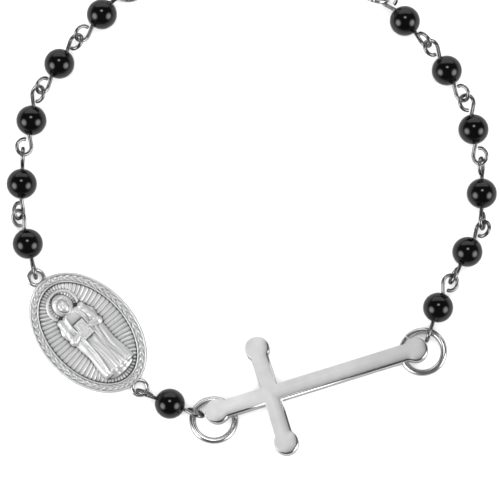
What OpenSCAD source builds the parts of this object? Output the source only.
// Rosary bracelet: black beads on eye pins, an oval medal and a sideways cross,
// laid in a closed loop on a flat surface. Origin in the middle of its footprint.

/* [Beads and eye pins] */
// Diameter of a bead
bead_d = 4; // [3.4:0.1:6]
// Diameter of the wire of an eye pin
pin_wire = 0.5; // [0.4:0.02:0.6]
// Inside diameter of an eye
eye_d = 1.56; // [1.5:0.02:2.2]
// How far an eye reaches out of its bead
eye_reach = 2.9; // [2.8:0.05:4]
// How far an eye sits to one side of its pin
eye_side = 0.5; // [0.3:0.05:0.6]
// Opening left at the cut end of an eye
eye_gap = 0.12; // [0.1:0.02:0.3]

/* [Jump rings] */
// Outside diameter of the two rings at the cross
cross_ring_d = 6.5; // [6:0.1:8]
// Wire diameter of the two rings at the cross
cross_ring_wire = 0.85; // [0.6:0.05:0.9]
// Outside diameter of the two rings at the ends of the bead chain
end_ring_d = 4; // [3.8:0.1:5]
// Wire diameter of the two rings at the ends of the bead chain
end_ring_wire = 0.6; // [0.4:0.05:0.7]
// Cut of a jump ring, in degrees
ring_cut = 2; // [1:0.5:5]

/* [Cross] */
// Length of the arm that points to the left
left_arm = 9.1; // [8:0.1:12]
// Length of the arm that points to the right
right_arm = 21.6; // [18:0.1:26]
// Length of the arm that points up
up_arm = 8.1; // [6.5:0.1:10]
// Length of the arm that points down
down_arm = 8.4; // [6.5:0.1:10]
// Width of the arms
arm_w = 2.3; // [1.5:0.05:2.6]
// Width of the rounded bud at the end of each arm
bud_w = 3.25; // [2.8:0.05:3.6]
// Radius of the hollow between an arm and its bud
bud_fillet = 0.8; // [0.5:0.1:3]
// Thickness of the cross
cross_t = 1.5; // [1:0.05:2]
// Wire diameter of the bails soldered to the back of the cross
bail_wire = 0.5; // [0.4:0.05:0.7]
// Distance from the tip of an arm to its bail
bail_in = 3.5; // [3.2:0.05:4]

/* [Medal] */
// Length of the medal without its eyelets
medal_l = 18.4; // [16:0.1:22]
// Width of the medal
medal_w = 12.7; // [11:0.1:16]
// Thickness at the field around the figure
field_t = 1.1; // [1:0.05:1.6]
// Height of the rim above the field
rim_h = 0.6; // [0.5:0.05:0.8]
// Height of the figure above the field
figure_h = 1; // [0.6:0.05:1.4]
// Depth of the rays in the field
ray_h = 0.16; // [0.08:0.01:0.25]
// Width of the rim
rim_w = 1.3; // [1:0.05:1.8]
// Number of rays around the figure
rays = 48; // [36:2:60]
// Wire diameter of the eyelets
eyelet_wire = 0.5; // [0.4:0.05:0.6]
// Inside diameter of the eyelets
eyelet_d = 1.5; // [1.4:0.05:2]
// Distance from the edge of the medal to the middle of an eyelet
eyelet_out = 0.85; // [0.8:0.05:1]

/* [Hidden stretch] */
// Width of an extender link
link_w = 3.6; // [3.4:0.1:4.4]
// Wire diameter of an extender link
link_wire = 0.6; // [0.5:0.05:0.7]
// Wire diameter of the clasp's frame
clasp_wire = 1; // [0.9:0.05:1.1]
// Width of the clasp's frame
clasp_w = 5; // [4.6:0.1:6]
// Length of the straight sides of the clasp's frame
clasp_side = 3.2; // [2.5:0.1:6]
// Wire diameter of the clasp's eye
clasp_eye_wire = 0.7; // [0.5:0.05:0.8]
// Inside diameter of the clasp's eye
clasp_eye_d = 1.5; // [1.4:0.05:2]

/* [Clearances] */
// Clearance between a pin and the hole in its bead
bore_gap = 0.13; // [0.12:0.01:0.15]
// Clearance where two loops of wire hang in each other
loop_gap = 0.12; // [0.1:0.01:0.2]
// Clearance around a ring in its bail
bail_gap = 0.2; // [0.15:0.01:0.3]

/* [Hidden] */
$fn = 64;
LEFT = 1;
RIGHT = -1;
// Direction of the cross's long bar on the surface, counterclockwise from +X
cross_heading = 17.2;
// Lean of the extender links and of the clasp's eye about the line of the chain
link_lean = 45;
clasp_eye_lean = 36;
// Pull on the joints between the links, at the clasp's nose and at its eye (1 is taut)
link_pull = 0.99;
nose_pull = 0.75;
clasp_eye_pull = 0.75;
// Swelling where two lengths of wire meet, and how far inside it each length ends
swell = 0.02;
swell_in = 0.06;
// Number of extender links. Their length follows from the room that they fill
links = 7;
// Length of the hidden stretch, as a multiple of the straight way between its ends
hidden_ease = 1.15;
// The rings at the cross. Columns: heading from the bail, slope, lean and place of the cut
LEFT_RING = [210.1, 11, 13, 150];
RIGHT_RING = [13.6, 10.4, -11.2, 125];
// Place of the cut of a ring at the end of the bead chain
END_RING_CUT = 90;

// The route of each arm, from the cross to the end of the bead chain. Columns: kind of piece,
// heading, lean of its near loop, lean of its far loop, pull on the joint before it (1 is taut)
LEFT_ROUTE = [
    ["pin", 158.3, -104, -96, 0.85],
    ["medal", 133.4, 0, 0, 0.69],
    ["pin", 103.9, -83, -41, 0.713],
    ["pin", 88.1, 58, 93, 0.652],
    ["pin", 82.3, 24, 141, 0.902],
    ["pin", 58.7, 50, 137, 0.899],
    ["pin", 51.1, 42, -47, 0.989],
    ["end ring", 8.7, 46, 0, 0.781]
];
RIGHT_ROUTE = [
    ["pin", 70.8, -94, 199, 0.845],
    ["pin", 62.1, 278, 137, 0.758],
    ["pin", 89.2, 252, 73, 0.769],
    ["pin", 96.7, 145, 24, 0.954],
    ["pin", 117.6, 135, 33, 0.983],
    ["pin", 132.1, 113, 153, 0.986],
    ["end ring", 164, 55.4, 0, 0.881]
];

// Sections across the rim of the medal. Columns: place from the inside out, height at a leaf and
// height between two leaves, as shares of the rim's width and height
RIM_SECTIONS = [
    [0.08, 0.85, 0.85],
    [0.20, 0.45, 0.45],
    [0.55, 1.00, 0.55],
    [0.85, 0.60, 0.60],
    [1.00, 0.40, 0.40]
];
// Half widths of the robe from the foot to the shoulders, as shares of the robe's height
// and of its half width
ROBE_WIDTHS = [
    [0, 0.86], [0.08, 0.9], [0.35, 0.78], [0.62, 0.86], [0.82, 1], [0.94, 0.8], [1, 0.4]
];
field_rings = 20;

// The figure on the medal. Shares of the field's half length: the places of the head and the foot,
// and the radii of the head and of the halo
HEAD_AT = 0.62;
FOOT_AT = -0.8;
HEAD_SIZE = 0.17;
HALO_SIZE = 0.26;
// Shares of the head's radius: the drop from the middle of the head to the shoulders, the hands
// and the elbows, the half width of a sleeve, and the half sizes of the book
SHOULDER_DROP = 0.85;
HANDS_DROP = 3.1;
ELBOW_DROP = 3.4;
SLEEVE_SIZE = 0.55;
BOOK = [0.95, 0.62];
// Half width of the robe as a share of the field's, and the places of the elbow and the hand
// across the figure as shares of the robe's half width
ROBE_SIZE = 0.56;
ELBOW_OUT = 0.74;
HAND_OUT = 0.2;
// Width of the halo's band as a share of its radius
HALO_BAND = 0.2;
// Heights above the field, as shares of the figure's height
ROBE_H = 0.62;
PLEAT_H = 0.1;
HALO_H = 0.22;
SLEEVE_H = 0.9;
// Where the pleats of the robe end, as a share of its height, and the angle that they turn through
// from its middle to its edge
PLEAT_TOP = 0.55;
PLEAT_TURN = 900;
// Rounded forms on the figure. Columns: form, its place up the figure, its half length and half
// width as shares of the field's half length, and its height
FORMS = [
    ["veil", 0.62, 0.2125, 0.17, 0.75],
    ["face", 0.603, 0.136, 0.102, 1],
    ["base", -0.8, 0.1, 0.268, 0.5]
];

function along(a) = [cos(a), sin(a)];
function leftward(a) = [-sin(a), cos(a)];
function flat(p) = [p.x, p.y];

eye_r = (eye_d + pin_wire) / 2;
eye_x = bead_d / 2 + eye_reach - eye_d / 2 - pin_wire;
cross_ring_r = (cross_ring_d - cross_ring_wire) / 2;
end_ring_r = (end_ring_d - end_ring_wire) / 2;
eyelet_r = (eyelet_d + eyelet_wire) / 2;
eyelet_x = medal_l / 2 + eyelet_out;
bail_r = cross_ring_wire / 2 + bail_gap + bail_wire / 2;
bail_leg = cross_ring_wire / 2 + bail_gap;
bail_drop = bail_leg + bail_r + bail_wire / 2;
link_r = (link_w - link_wire) / 2;
clasp_r = (clasp_w - clasp_wire) / 2;
clasp_eye_r = (clasp_eye_d + clasp_eye_wire) / 2;
// From the middle of the clasp's nose to the middle of its eye
clasp_span = clasp_side + clasp_r + clasp_wire / 2 + clasp_eye_d / 2;

// The cross leans on its two bails and on the tip of its upper arm
cross_lean = asin(bail_drop / up_arm);
// A point of the cross, from its own frame to the surface's
function cross_point(p) = [
    p.x * cos(cross_heading) - (p.y * cos(cross_lean) + p.z * sin(cross_lean)) * sin(cross_heading),
    p.x * sin(cross_heading) + (p.y * cos(cross_lean) + p.z * sin(cross_lean)) * cos(cross_heading),
    bail_drop - p.y * sin(cross_lean) + p.z * cos(cross_lean)
];
function bail_hole(side) =
    cross_point([side == LEFT ? bail_in - left_arm : right_arm - bail_in, 0, -bail_leg]);

// Where a ring at the cross has its middle
function ring_place(side) = side == LEFT ? LEFT_RING : RIGHT_RING;
function ring_middle(side) = bail_hole(side)
    + cross_ring_r * [each (cos(ring_place(side)[1]) * along(ring_place(side)[0])),
                      sin(ring_place(side)[1])];

// Radius and wire of the loop by which a piece hangs in its neighbour
function hook_r(kind) = kind == "pin" ? eye_r : kind == "medal" ? eyelet_r : end_ring_r;
function hook_wire(kind) = kind == "pin" ? pin_wire : kind == "medal" ? eyelet_wire : end_ring_wire;
function taut(r1, wire1, r2, wire2) = r1 + r2 - (wire1 + wire2) / 2 - loop_gap;
// Height of the middle of a loop whose leaning edge touches the surface
function leaning_height(r, wire, lean) = r * sin(lean) + wire / 2;

function route(side) = side == LEFT ? LEFT_ROUTE : RIGHT_ROUTE;
// Middle of the loop of piece i that is nearer to the cross
function near_hook(side, i) =
    let (row = route(side)[i], last = i == 0 ? "" : route(side)[i - 1][0])
    (i == 0 ? flat(ring_middle(side)) : far_hook(side, i - 1))
    + row[4] * along(row[1]) * (i == 0
        ? taut(cross_ring_r, cross_ring_wire, hook_r(row[0]), hook_wire(row[0]))
        : taut(hook_r(last), hook_wire(last), hook_r(row[0]), hook_wire(row[0])));
// Middle of the loop of piece i that is farther from the cross
function far_hook(side, i) =
    let (row = route(side)[i])
    near_hook(side, i)
    + (row[0] == "pin" ? 2 * eye_x : row[0] == "medal" ? 2 * eyelet_x : 0) * along(row[1])
    + (row[0] == "pin" ? eye_side * (cos(row[3]) - cos(row[2])) : 0) * leftward(row[1]);
// Middle of the bead or medal of piece i
function middle(side, i) =
    let (row = route(side)[i])
    near_hook(side, i)
    + (row[0] == "pin" ? eye_x : row[0] == "medal" ? eyelet_x : 0) * along(row[1])
    - (row[0] == "pin" ? eye_side * cos(row[2]) : 0) * leftward(row[1]);

// Each bead's side and its row in that side's route
BEADS = [for (side = [LEFT, RIGHT], i = [0:len(route(side)) - 1]) if (route(side)[i][0] == "pin")
    [side, i]];
medal_row = [for (i = [0:len(LEFT_ROUTE) - 1]) if (LEFT_ROUTE[i][0] == "medal") i][0];
function end_ring_middle(side) = near_hook(side, len(route(side)) - 1);

// The hidden stretch follows an arc between the two end rings
hidden_start = end_ring_middle(LEFT);
hidden_end = end_ring_middle(RIGHT);
hidden_chord = norm(hidden_end - hidden_start);
chord_heading = atan2((hidden_end - hidden_start).y, (hidden_end - hidden_start).x);
hidden_length = hidden_ease * hidden_chord;
ring_step = taut(end_ring_r, end_ring_wire, link_r, link_wire);
link_step = link_pull * taut(link_r, link_wire, link_r, link_wire);
nose_step = nose_pull * taut(link_r, link_wire, clasp_r, clasp_wire);
eye_step = clasp_eye_pull * taut(clasp_eye_r, clasp_eye_wire, end_ring_r, end_ring_wire);
joint_steps = ring_step + (links - 1) * link_step + nose_step + eye_step;
// Half of the straight sides of a link
link_x = (hidden_length - joint_steps - clasp_span) / links / 2;
link_pitch = 2 * link_x + link_step;
// Half of the arc's angle, found by halving the range that holds it
function half_angle(low, high, tries = 30) =
    let (a = (low + high) / 2)
    tries == 0 ? a
    : sin(a) / (a * PI / 180) > hidden_chord / hidden_length ? half_angle(a, high, tries - 1)
    : half_angle(low, a, tries - 1);
arc_half = half_angle(0.1, 170);
arc_r = hidden_chord / 2 / sin(arc_half);
function arc_heading(s) = chord_heading + arc_half - s / arc_r * 180 / PI;
function arc_point(s) =
    hidden_start + arc_r * (leftward(arc_heading(s)) - leftward(chord_heading + arc_half));
function link_at(i) = ring_step + link_x + (i - 1) * link_pitch;
nose_at = link_at(links) + link_x + nose_step;
clasp_eye_at = nose_at + clasp_span;

// The middle of the footprint is the origin
bead_places = [for (b = BEADS) middle(b[0], b[1])];
footprint_top = (hidden_start + hidden_end).y / 2 + arc_r * (1 - cos(arc_half))
    + link_r * cos(link_lean) + link_wire / 2;
footprint_bottom = cross_point([0, bud_w / 2 - down_arm, 0]).y - bud_w / 2;
footprint_x = (max([for (p = bead_places) p.x]) + min([for (p = bead_places) p.x])) / 2;
footprint_middle = [footprint_x, (footprint_top + footprint_bottom) / 2];

bead_names = [for (i = [1:len(BEADS)]) str("bead_", i)];
pin_names = [for (i = [1:len(BEADS)]) str("eye_pin_", i)];
link_names = [for (i = [1:links]) str("extender_link_", i)];

// Puts a piece on the surface: middle, height, heading, slope upward along it and lean about it
module put(middle, height = 0, heading = 0, slope = 0, lean = 0)
    translate([each (flat(middle) - footprint_middle), height])
        rotate([lean, -slope, heading])
            children();

// Arc of wire around the origin, from one angle to another
module wire_arc(r, wire, from = 0, turn = 360)
    rotate(from)
        rotate_extrude(angle = turn)
            translate([r, 0])
                circle(d = wire);

// Straight wire along +X
module wire_run(length, wire)
    rotate([0, 90, 0])
        cylinder(d = wire, h = length);

// Swelling of the wire at the origin, where two lengths of it meet
module wire_joint(wire)
    rotate(90)
        sphere(d = wire + 2 * swell);

// The stem and the eye of a pin, from the mouth of the bead's hole on, in the eye's own plane
module eye() {
    reach = [eye_x - bead_d / 2, eye_side];
    stem = sqrt(reach * reach - eye_r ^ 2);
    stem_angle = atan2(reach.y, reach.x) - asin(eye_r / norm(reach));
    arc_skip = swell_in / eye_r * 180 / PI;
    arc_turn = 360 - acos(1 - (pin_wire + eye_gap) / eye_r);
    translate([bead_d / 2, 0]) {
        wire_joint(pin_wire);
        rotate(stem_angle) {
            translate([swell_in, 0])
                wire_run(stem - 2 * swell_in, pin_wire);
            translate([stem, 0])
                wire_joint(pin_wire);
        }
    }
    translate([eye_x, eye_side])
        wire_arc(eye_r, pin_wire, stem_angle - 90 + arc_skip, arc_turn - arc_skip);
}

module eye_pin(i) {
    row = route(BEADS[i][0])[BEADS[i][1]];
    color("silver")
        put(bead_places[i], bead_d / 2, row[1]) {
            translate([swell_in - bead_d / 2, 0])
                wire_run(bead_d - 2 * swell_in, pin_wire);
            mirror([1, 0, 0])
                rotate([row[2], 0, 0])
                    eye();
            rotate([row[3], 0, 0])
                eye();
        }
}

module bead(i) {
    bore_r = pin_wire / 2 + bore_gap;
    color([0.05, 0.05, 0.05])
        put(bead_places[i], bead_d / 2, route(BEADS[i][0])[BEADS[i][1]][1])
            rotate([0, 90, 0])
                rotate_extrude()
                    intersection() {
                        circle(d = bead_d);
                        translate([bore_r, -bead_d / 2])
                            square([bead_d, bead_d]);
                    }
}

module jump_ring(r, wire, cut_at)
    wire_arc(r, wire, cut_at + ring_cut / 2, 360 - ring_cut);

module cross_ring(side) {
    place = ring_place(side);
    color("gainsboro")
        put(ring_middle(side), ring_middle(side).z, place[0], place[1], place[2])
            jump_ring(cross_ring_r, cross_ring_wire, place[3]);
}

module end_ring(side) {
    row = route(side)[len(route(side)) - 1];
    color("gainsboro")
        put(end_ring_middle(side), leaning_height(end_ring_r, end_ring_wire, row[2]),
            row[1], 0, row[2])
            jump_ring(end_ring_r, end_ring_wire, END_RING_CUT);
}

// Outline of one arm along +X, with its bud at the end
module arm_outline(length) {
    bud_x = length - bud_w / 2;
    hollow_x = sqrt((bud_fillet + bud_w / 2) ^ 2 - (bud_fillet + arm_w / 2) ^ 2);
    translate([-arm_w / 2, -arm_w / 2])
        square([bud_x + arm_w / 2, arm_w]);
    translate([bud_x, 0])
        circle(d = bud_w);
    difference() {
        translate([bud_x - hollow_x, -bud_w / 2])
            square([hollow_x, bud_w]);
        for (side = [-1, 1])
            translate([bud_x - hollow_x, side * (arm_w / 2 + bud_fillet)])
                circle(r = bud_fillet);
    }
}

// Wire loop soldered to the back of the cross, in the plane of its arm
module bail() {
    translate([0, 0, -bail_leg])
        rotate([90, 0, 0])
            wire_arc(bail_r, bail_wire, 180, 180);
    for (side = [-1, 1])
        translate([side * bail_r, 0, -bail_leg])
            cylinder(d = bail_wire, h = bail_leg + cross_t / 2);
}

module cross()
    color("whitesmoke")
        put([0, 0], bail_drop, cross_heading, 0, -cross_lean) {
            linear_extrude(cross_t) {
                arm_outline(right_arm);
                rotate(90)
                    arm_outline(up_arm);
                rotate(180)
                    arm_outline(left_arm);
                rotate(270)
                    arm_outline(down_arm);
            }
            translate([right_arm - bail_in, 0])
                bail();
            translate([bail_in - left_arm, 0])
                bail();
        }

/* The relief of the medal. u runs up the figure from the middle of the medal and v across it. */
field_u = medal_l / 2 - rim_w;
field_v = medal_w / 2 - rim_w;
head_u = HEAD_AT * field_u;
head_r = HEAD_SIZE * field_u;
halo_r = HALO_SIZE * field_u;
foot_u = FOOT_AT * field_u;
shoulder_u = head_u - SHOULDER_DROP * head_r;
hands_u = head_u - HANDS_DROP * head_r;
robe_v = ROBE_SIZE * field_v;
elbow = [head_u - ELBOW_DROP * head_r, ELBOW_OUT * robe_v];
hand = [hands_u, HAND_OUT * robe_v];

function dome(u, v, half_u, half_v) =
    let (q = (u / half_u) ^ 2 + (v / half_v) ^ 2)
    q < 1 ? sqrt(1 - q) : 0;
function pleat(s, q) = s < PLEAT_TOP ? PLEAT_H * cos(q * PLEAT_TURN) * (1 - q) : 0;
function robe_h(u, v) =
    let (
        s = (u - foot_u) / (shoulder_u - foot_u),
        q = abs(v) / robe_v / lookup(s, ROBE_WIDTHS)
    )
    s < 0 || s > 1 || q >= 1 ? 0 : ROBE_H * sqrt(1 - q ^ 2) + pleat(s, q);
function forms_h(u, v) = max([for (form = FORMS)
    form[4] * dome(u - form[1] * field_u, v, form[2] * field_u, form[3] * field_u)]);
function halo_h(u, v) = HALO_H * dome(norm([u - head_u, v]) - halo_r, 0, HALO_BAND * halo_r, 1);
function sleeve_h(u, v) =
    let (
        p = [u, abs(v)],
        s = min(1, max(0, (p - elbow) * (hand - elbow) / ((hand - elbow) * (hand - elbow))))
    )
    SLEEVE_H * dome(norm(p - elbow - s * (hand - elbow)), 0, SLEEVE_SIZE * head_r, 1);
function book_h(u, v) = abs(u - hands_u) < BOOK.x * head_r && abs(v) < BOOK.y * head_r ? 1 : 0;
function figure_share(u, v) =
    max(robe_h(u, v), forms_h(u, v), halo_h(u, v), sleeve_h(u, v), book_h(u, v));

// Rings of points from the head out to the edge; every second spoke is the crest of a ray
spokes = 2 * rays;
function spoke_ends(half_u, half_v, k) =
    let (angle = k * 360 / spokes)
    [half_u * cos(angle), half_v * sin(angle)];
function field_point(t, k) =
    let (p = [head_u, 0] * (1 - t) + spoke_ends(field_u, field_v, k) * t)
    [p.x, p.y, field_t + max((k % 2 == 0 ? ray_h * t : 0), figure_h * figure_share(p.x, p.y))];
function rim_point(section, k) =
    let (p = spoke_ends(field_u + section[0] * rim_w, field_v + section[0] * rim_w, k))
    [p.x, p.y, field_t + rim_h * (k % 2 == 0 ? section[1] : section[2])];
relief_rows = concat(
    [for (j = [1:field_rings]) [for (k = [0:spokes - 1]) field_point(j / field_rings, k)]],
    [for (section = RIM_SECTIONS) [for (k = [0:spokes - 1]) rim_point(section, k)]],
    [[for (k = [0:spokes - 1]) [each spoke_ends(medal_l / 2, medal_w / 2, k), 0]]]
);

module medal() {
    row = LEFT_ROUTE[medal_row];
    last = len(relief_rows) - 1;
    top = [head_u, 0, field_t + figure_h * figure_share(head_u, 0)];
    points = concat([top], [for (line = relief_rows, p = line) p]);
    faces = concat(
        [for (k = [0:spokes - 1]) [0, 1 + (k + 1) % spokes, 1 + k]],
        [for (j = [0:last - 1], k = [0:spokes - 1])
            let (a = 1 + j * spokes + k, b = 1 + j * spokes + (k + 1) % spokes)
            each j == last - 1 ? [[a, b, b + spokes, a + spokes]]
                : [[a, b, b + spokes], [a, b + spokes, a + spokes]]],
        [[for (k = [0:spokes - 1]) 1 + last * spokes + k]]
    );
    color("silver")
        put(middle(LEFT, medal_row), 0, row[1]) {
            polyhedron(points, faces);
            for (end = [-1, 1])
                translate([end * eyelet_x, 0, field_t])
                    wire_arc(eyelet_r, eyelet_wire);
        }
}

module extender_link(i)
    color("gainsboro")
        put(arc_point(link_at(i)), leaning_height(link_r, link_wire, link_lean),
            arc_heading(link_at(i)), 0, i % 2 == 0 ? -link_lean : link_lean)
            for (end = [0, 180])
                rotate(end) {
                    translate([link_x, 0])
                        wire_arc(link_r, link_wire, -90, 180);
                    for (side = [-1, 1])
                        translate([0, side * link_r])
                            wire_run(link_x, link_wire);
                }

module clasp() {
    heading = arc_heading((nose_at + clasp_eye_at) / 2);
    nose_height = leaning_height(link_r, link_wire, link_lean);
    eye_height = leaning_height(clasp_eye_r, clasp_eye_wire, clasp_eye_lean);
    color("gainsboro")
        put(arc_point(nose_at), nose_height, heading) {
            wire_arc(clasp_r, clasp_wire, 90, 180);
            for (side = [-1, 1])
                translate([0, side * clasp_r])
                    wire_run(clasp_side, clasp_wire);
            translate([clasp_side, 0])
                wire_arc(clasp_r, clasp_wire, -90, 180);
            translate([clasp_span, 0, eye_height - nose_height])
                rotate([clasp_eye_lean, 0, 0])
                    wire_arc(clasp_eye_r, clasp_eye_wire);
        }
}

cross();
cross_ring(LEFT);  // cross_ring_left
cross_ring(RIGHT);  // cross_ring_right
medal();
for (i = [0:len(BEADS) - 1])
    bead(i);
for (i = [0:len(BEADS) - 1])
    eye_pin(i);
end_ring(LEFT);  // end_ring_left
end_ring(RIGHT);  // end_ring_right
clasp();
for (i = [1:links])
    extender_link(i);
